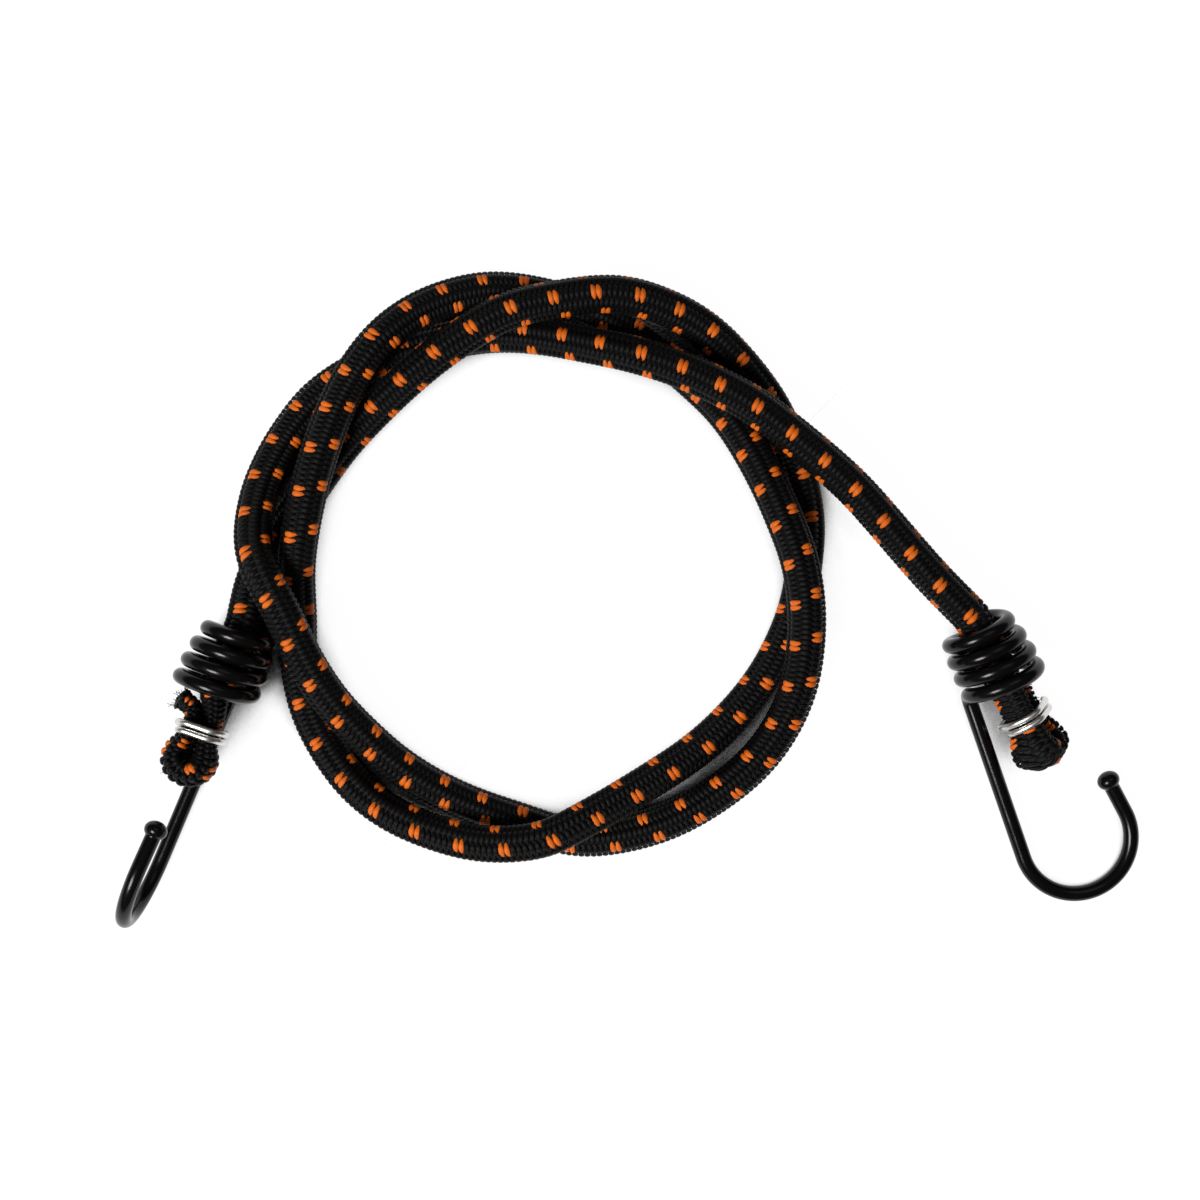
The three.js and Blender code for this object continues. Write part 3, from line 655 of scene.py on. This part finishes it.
braid_groups = [
    ("orange_yarns", 1.0, 0, 2, orange_yarn),
    ("black_yarns_1", 1.0, 2, 2, black_yarn),
    ("black_yarns_2", 1.0, 4, 2, black_yarn),
    ("black_yarns_3", 1.0, 6, 2, black_yarn),
    ("black_yarns_4", -1.0, 0, 2, black_yarn),
    ("black_yarns_5", -1.0, 2, 2, black_yarn),
    ("black_yarns_6", -1.0, 4, 2, black_yarn),
    ("black_yarns_7", -1.0, 6, 2, black_yarn),
]
for name, hand, first, count, material in braid_groups:
    mesh = line_mesh(name, [line[:, :3]], {
        "run": braid_runs,
        "turn": braid_turns,
        "wide_axis": wide_axes,
        "thick_axis": thick_axes,
        "along": tangents,
        "thick": line[:, 3],
        "wide": line[:, 4],
    })
    sizes = {
        "First yarn": first, "Yarns": count, "Hand": hand, "Lead": braid_lead,
        "Middle radius": yarn_middle_radius, "Lift": yarn_lift, "Yarn width": yarn_width,
        "Yarn thickness": yarn_thickness, "Sides": yarn_sides, "Material": material,
        "Points": int(cord_length / braid_lead * yarn_points_per_turn),
    }
    made_piece(name, mesh, braid_tree, sizes, "cord")
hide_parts("braided_sleeve")

# The clamp rings. A short length of bright steel wire is wound one and a half times round both legs of
# the fold and squeezed tight, its two ends lapped side by side.
ring_clearance = 0.0003
ring_step = 0.00025
ring_tip_size = 0.82
ring_tip_length = 0.0003

steel, board, shader = new_material("bright_steel_wire")
place = board.node("ShaderNodeTexCoord", None, None, "Object")
scuffs = board.node("ShaderNodeTexNoise", None, {"Vector": place, "Scale": 420.0, "Detail": 2.0})
dull = board.node("ShaderNodeTexNoise", None, {"Vector": place, "Scale": 180.0})
bump = board.node("ShaderNodeBump", None, {"Height": scuffs, "Strength": 0.12, "Distance": 0.00008})
feed(board, shader, {
    "Base Color": board.blend(dull, (0.66, 0.65, 0.62, 1.0), (0.90, 0.89, 0.86, 1.0)),
    "Metallic": 1.0,
    "Roughness": 0.30 + scuffs * 0.14,
    "Normal": bump,
})


def ring_line(end):
    """The middle of a ring's wire, round the two legs."""
    knot = knot_axes(end)
    thick = pinched[0] / 2
    wide = pinched[1] / 2
    stand_off = ring_clearance + ring_wire / 2
    points = []
    for turn in np.linspace(0, ring_turns, 120):
        angle = 2 * math.pi * (end["ring_start"] + turn)
        outward = Vector((math.cos(angle) / thick, math.sin(angle) / wide)).normalized()
        leg_across = math.copysign(leg_spacing, math.cos(angle))
        points.append(placed(knot, (
            ring_along + ring_pitch * (turn - ring_turns / 2),
            leg_across + thick * math.cos(angle) + stand_off * outward.x,
            wide * math.sin(angle) + stand_off * outward.y,
        )))
    return evenly_spaced(np.array(points), ring_step)


def wire_mesh(name, points, radii, first_axis):
    axes = carried_axes(points, first_axis)[1]
    return line_mesh(name, [points], {"outward": axes, "radius": radii})


for side, end in ends.items():
    points = ring_line(end)
    places = np.arange(len(points))
    from_tip = np.minimum(places, places[::-1]) * ring_step
    rounded = mixed(ring_tip_size, 1.0, np.minimum(from_tip / ring_tip_length, 1.0))
    mesh = wire_mesh(f"{side}_ring", points, ring_wire / 2 * rounded, knot_axes(end)[1])
    sizes = {"Sides": 20, "Material": steel}
    ring = made_piece(f"{side}_ring", mesh, tube_tree, sizes, "cord")
    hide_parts(f"{side}_clamp_ring")

# The cut ends. The folded tail is cut with a hot knife, which melts the yarns and the rubber into a hard
# dark lump with a few loose fibres round it.
cuts = (("left", 0, -1), ("right", len(line) - 1, 1))
dome_rings = 10
dome_sides = 28
dome_height = 0.0011
dome_sunk = 0.0004
dome_wide = 1.02
dome_thick = 1.04
lump_height = 0.16
lump_detail = 2

cut_material, board, shader = new_material("melted_end")
place = board.node("ShaderNodeTexCoord", None, None, "Object")
crust = board.node("ShaderNodeTexNoise", None, {"Vector": place, "Scale": 1500.0, "Detail": 5.0})
bump = board.node("ShaderNodeBump", None, {"Height": crust, "Strength": 0.6, "Distance": 0.0003})
feed(board, shader, {
    "Base Color": board.blend(crust, (0.004, 0.004, 0.004, 1.0), (0.020, 0.019, 0.018, 1.0)),
    "Roughness": 0.38 + crust * 0.3,
    "Normal": bump,
})
for side, i, outward in cuts:
    dome = bpy.data.meshes.new(f"{side}_cut_end")
    points = []
    for ring in range(dome_rings + 1):
        lean = math.pi / 2 * ring / dome_rings
        for step in range(dome_sides):
            angle = 2 * math.pi * step / dome_sides
            spot = (math.cos(angle) * lump_detail, math.sin(angle) * lump_detail, lean * lump_detail + i)
            lump = 1 + lump_height * noise.noise(Vector(spot))
            across = line[i, 4] * dome_wide * math.cos(lean) * math.cos(angle) * lump
            up = line[i, 3] * dome_thick * math.cos(lean) * math.sin(angle) * lump
            forward = (dome_height * math.sin(lean) * lump - dome_sunk) * outward
            point = Vector(line[i, :3]) + wide_axes[i] * across + thick_axes[i] * up + tangents[i] * forward
            points.append(point)
    faces = []
    for ring in range(dome_rings):
        for step in range(dome_sides):
            corner = ring * dome_sides + step
            beside = ring * dome_sides + (step + 1) % dome_sides
            faces.append((corner, beside, beside + dome_sides, corner + dome_sides)[::outward])
    faces.append(tuple(range(dome_sides))[::-outward])
    dome.from_pydata(points, [], faces)
    dome.materials.append(cut_material)
    dome.shade_smooth()
    cut_end = bpy.data.objects.new(f"{side}_cut_end", dome)
    bpy.context.scene.collection.objects.link(cut_end)
    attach(cut_end, "cord")

# Loose fibres. Fine black filaments stand out of the braid where the cord is cut and where it is bent
# hard in the fold.
fibre_radius = 0.00005
fibre_points = 6
fibre_sway = 0.5
fibre_curl = 0.35
fibre_side = Vector((0.31, 0.17, 0.93))
cut_fibres = 34
cut_fibre_length = 0.0016
cut_fibre_root = 0.85
cut_fibre_lift = 0.0001
cut_fibre_spread = 0.8
fold_fibres = 46
fold_fibre_length = 0.0009
fold_fibre_root = 0.93
fold_fibre_places = (0.002, 0.030)

fibre_material, board, shader = new_material("loose_fibre")
place = board.node("ShaderNodeTexCoord", None, None, "Object")
worn = board.node("ShaderNodeTexNoise", None, {"Vector": place, "Scale": 2500.0})
feed(board, shader, {
    "Base Color": board.blend(worn, (0.006, 0.006, 0.006, 1.0), (0.030, 0.029, 0.028, 1.0)),
    "Roughness": 0.6,
})


def fibre(chance, root, outward, longest):
    """One bent filament from its root."""
    sway = Vector([chance.uniform(-1, 1) for _ in range(3)])
    curl = Vector([chance.uniform(-1, 1) for _ in range(3)])
    way = (outward + sway * fibre_sway).normalized()
    length = longest * chance.uniform(0.35, 1.0)
    shares = np.linspace(0, 1, fibre_points)
    return [root + (way * share + curl * fibre_curl * share**2) * length for share in shares]


def rim_at(i, angle):
    """From the cord's middle to its rim."""
    return wide_axes[i] * math.cos(angle) * line[i, 4] + thick_axes[i] * math.sin(angle) * line[i, 3]


chance = random.Random(11)
for side, cut, outward in cuts:
    lines = []
    for _ in range(cut_fibres):
        rim = rim_at(cut, chance.uniform(0, 2 * math.pi))
        root = Vector(line[cut, :3]) + rim * cut_fibre_root + tangents[cut] * outward * cut_fibre_lift
        way = rim.normalized() * cut_fibre_spread + tangents[cut] * outward
        lines.append(fibre(chance, root, way, cut_fibre_length))
    for _ in range(fold_fibres):
        i = cut - outward * int(chance.uniform(*fold_fibre_places) / line_step)
        rim = rim_at(i, chance.uniform(0, 2 * math.pi))
        root = Vector(line[i, :3]) + rim * fold_fibre_root
        lines.append(fibre(chance, root, rim.normalized(), fold_fibre_length))
    fibre_axes = []
    for one in lines:
        fibre_axes.extend(carried_axes(np.array(one), fibre_side)[1])
    mesh = line_mesh(f"{side}_loose_fibres", lines, {
        "outward": fibre_axes,
        "radius": [fibre_radius] * (fibre_points * len(lines)),
    })
    sizes = {"Sides": 4, "Material": fibre_material}
    made_piece(f"{side}_loose_fibres", mesh, tube_tree, sizes, "cord")

# The hooks. Each is one length of steel wire, bent cold and then dipped in black plastic: a ball on the
# tip, an open crook, a straight shank, and a tapered coil of nearly four turns that grips the cord.
wire_radius = 0.0016
coil_grip_clearance = 0.0003
coil_start_radius = cord_radius + coil_grip_clearance + wire_radius
coil_end_radius = 0.00755
coil_turns = 3.75
coil_pitch = 0.00369
coil_flare = 2.6
coil_lean = math.radians(8.5)
bend_radius = 0.0022
shank_splay = math.radians(7)
crook_radius = 0.0116
crook_turn = math.radians(189)
tip_length = 0.00565
ball_radius = 0.00235
ball_length = 0.0038

dipped, board, shader = new_material("black_dipped_wire")
place = board.node("ShaderNodeTexCoord", None, None, "Object")
uneven = board.node("ShaderNodeTexNoise", None, {"Vector": place, "Scale": 120.0, "Detail": 2.0})
grain = board.node("ShaderNodeTexNoise", None, {"Vector": place, "Scale": 1400.0, "Detail": 3.0})
bump = board.node("ShaderNodeBump", None, {
    "Height": uneven + grain * 0.04, "Strength": 0.3, "Distance": 0.0004,
})
feed(board, shader, {
    "Base Color": board.blend(grain, (0.0015, 0.0015, 0.0016, 1.0), (0.004, 0.004, 0.0042, 1.0)),
    "Roughness": 0.14 + uneven * 0.14,
    "Specular IOR Level": 0.25,
    "Normal": bump,
})


def hook_line(end):
    """The middle of a hook's wire from the tip to the coil's small end, with its radius."""
    points = []
    axes = hook_axes(end)

    def add(local, radius):
        points.append((*placed(axes, local), radius))

    def coil_point(turn):
        angle = math.pi + 2 * math.pi * (turn - coil_turns)
        grown = 1 - (1 - turn / coil_turns) ** coil_flare
        radius = mixed(coil_start_radius, coil_end_radius, grown)
        along = coil_pitch * (angle - math.pi / 2) / (2 * math.pi)
        across = radius * math.cos(angle)
        return (
            along + across * math.sin(coil_lean),
            across * math.cos(coil_lean),
            radius * math.sin(angle),
        )

    coil_end = coil_point(coil_turns)
    down = (math.cos(shank_splay), -math.sin(shank_splay))

    def shank_point(distance):
        return coil_end[0] + down[0] * distance, coil_end[1] + down[1] * distance, -bend_radius

    crook_start = shank_point(bend_radius + end["shank"])
    centre = (crook_start[0] - down[1] * crook_radius, crook_start[1] + down[0] * crook_radius)

    def crook_point(turn):
        direction = turn - shank_splay
        return (
            centre[0] + crook_radius * math.sin(direction),
            centre[1] - crook_radius * math.cos(direction),
            -bend_radius,
        )

    crook_end = crook_point(crook_turn)
    tip_way = (math.cos(crook_turn - shank_splay), math.sin(crook_turn - shank_splay))

    def tip_point(distance):
        return crook_end[0] + tip_way[0] * distance, crook_end[1] + tip_way[1] * distance, -bend_radius

    ball_middle = tip_length + ball_length / 2
    neck_lean = math.asin(wire_radius / ball_radius)
    for lean in np.linspace(0.02, math.pi - neck_lean, 26):
        add(tip_point(ball_middle + ball_length / 2 * math.cos(lean)), ball_radius * math.sin(lean))
    neck = ball_middle - ball_length / 2 * math.cos(neck_lean)
    for distance in np.linspace(neck - 0.0003, 0, 10):
        add(tip_point(distance), wire_radius)
    for turn in np.linspace(crook_turn, 0, 90)[1:]:
        add(crook_point(turn), wire_radius)
    for distance in np.linspace(end["shank"] + bend_radius, bend_radius, 40)[1:]:
        add(shank_point(distance), wire_radius)
    for angle in np.linspace(math.pi / 2, 0, 14)[1:-1]:
        forward = shank_point(bend_radius * (1 - math.cos(angle)))
        add((forward[0], forward[1], -bend_radius * math.sin(angle)), wire_radius)
    for turn in np.linspace(coil_turns, 0, 330):
        add(coil_point(turn), wire_radius)
    return np.array(points)


for side, end in ends.items():
    points = hook_line(end)
    mesh = wire_mesh(f"{side}_wire_hook", points[:, :3], points[:, 3], hook_axes(end)[3])
    sizes = {"Sides": 28, "Material": dipped}
    hook = made_piece(f"{side}_wire_hook", mesh, tube_tree, sizes, f"{side}_hook")
    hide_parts(f"{side}_hook")

# The table and the light: a wide white table top with painted shade close under the cord, one soft
# lamp above it on the left, and a faint one from the room.
half = 40.0
table_corners = [(-half, -half, 0), (half, -half, 0), (half, half, 0), (-half, half, 0)]
table_white_share = 0.94

table_mesh = bpy.data.meshes.new("white_table")
table_mesh.from_pydata(table_corners, [], [(0, 1, 2, 3)])
table_material, board, shader = new_material("white_table")
# Painted shade: where the ambient occlusion finds the cord close over the table, the table's colour darkens
# and its white glow fades.
painted_shade_open_sky = board.node("ShaderNodeAmbientOcclusion", {"samples": 16}, {"Distance": 0.026}, "AO")
painted_shade_open_sky = board.node("ShaderNodeMapRange", None, {"Value": painted_shade_open_sky, "From Min": 0.30, "From Max": 0.48})
feed(board, shader, {
    "Base Color": board.blend(painted_shade_open_sky, (0.01, 0.01, 0.01, 1.0), (0.86, 0.86, 0.86, 1.0)),
    "Roughness": 0.9,
})
rays = board.node("ShaderNodeLightPath", None, None, "Is Camera Ray")
seen = rays + rays.sibling("Is Glossy Ray") + rays.sibling("Is Transmission Ray")
seen = board.node("ShaderNodeMath", {"operation": "MINIMUM"}, {0: seen, 1: 1.0})
glow = board.node("ShaderNodeEmission", None, {"Color": (1.0, 1.0, 1.0, 1.0), "Strength": 1.05})
surface = Wire(board, shader.outputs["BSDF"])
white = board.node("ShaderNodeMixShader", None, {
    0: seen * painted_shade_open_sky * table_white_share, 1: surface, 2: glow,
})
output = table_material.node_tree.nodes["Material Output"]
table_material.node_tree.links.new(white.socket, output.inputs["Surface"])
table_mesh.materials.append(table_material)
table = bpy.data.objects.new("white_table", table_mesh)
bpy.context.scene.collection.objects.link(table)


def soft_lamp(name, place, aim, size, power):
    data = bpy.data.lights.new(name, "AREA")
    data.shape = "DISK"
    data.size = size
    data.energy = power
    lamp = bpy.data.objects.new(name, data)
    lamp.location = place
    lamp.rotation_euler = (Vector(aim) - Vector(place)).to_track_quat("-Z", "Y").to_euler()
    bpy.context.scene.collection.objects.link(lamp)


soft_lamp("window_light", (-0.55, -0.42, 0.95), (0.0, 0.0, 0.0), 0.50, 14.5)
soft_lamp("room_light", (0.3, 0.5, 1.2), (0.0, 0.0, 0.0), 0.8, 0.8)
world = bpy.data.worlds.new("pale_room")
world.use_nodes = True
world.node_tree.nodes["Background"].inputs["Color"].default_value = (1.0, 1.0, 1.0, 1.0)
world.node_tree.nodes["Background"].inputs["Strength"].default_value = 0.055
bpy.context.scene.world = world
bpy.context.scene.view_settings.view_transform = "Standard"
